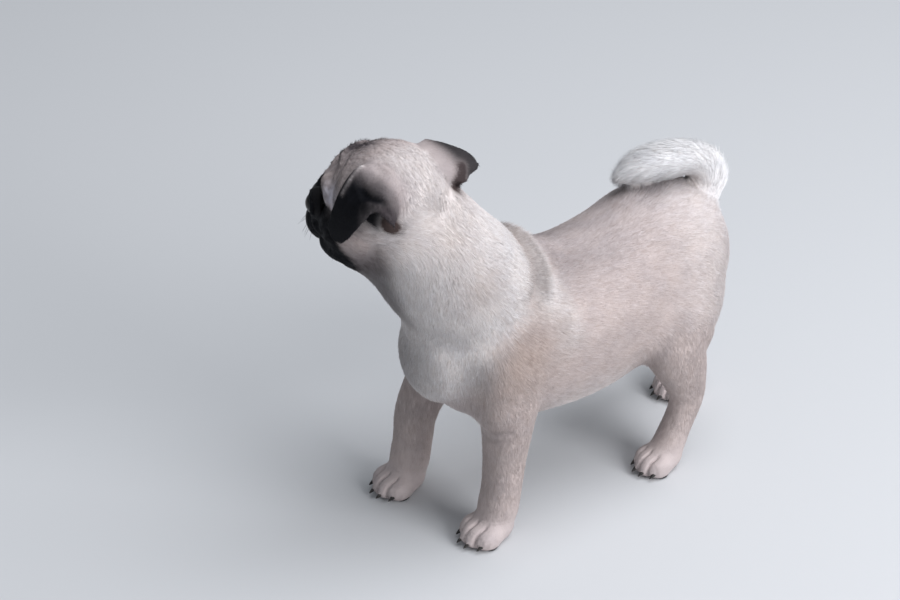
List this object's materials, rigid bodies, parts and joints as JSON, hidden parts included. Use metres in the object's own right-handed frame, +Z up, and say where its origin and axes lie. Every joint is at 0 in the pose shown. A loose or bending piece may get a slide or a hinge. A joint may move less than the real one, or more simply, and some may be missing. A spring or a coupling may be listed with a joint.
{
  "type": "pug puppy",
  "caption": "Standing short-coated fawn pug puppy with a black mask, head turned to its right, folded ears and a tail curled over the back.",
  "frame": {"origin": "the middle of the footprint of the whole puppy, on the level of its soles", "axes": "+Z up; the body faces -Y, so +Y runs back to the tail; +X is the puppy's left, and the head is turned to -X"},
  "size_m": [0.1504, 0.3468, 0.3053],
  "materials": {
    "fawn_coat": "short soft fawn coat",
    "cream_coat": "paler cream coat",
    "black_mask": "short black coat of the ears",
    "eye": "wet, very dark brown",
    "nose_leather": "black, slightly moist"
  },
  "bodies": {
    "root": {"torso": "fawn_coat", "neck": "cream_coat", "head": "fawn_coat", "ear_left": "black_mask", "ear_right": "black_mask", "eye_left": "eye", "eye_right": "eye", "nose": "nose_leather", "tail": "cream_coat", "foreleg_left": "fawn_coat", "foreleg_right": "fawn_coat", "hindleg_left": "fawn_coat", "hindleg_right": "fawn_coat"}
  },
  "joints": []
}
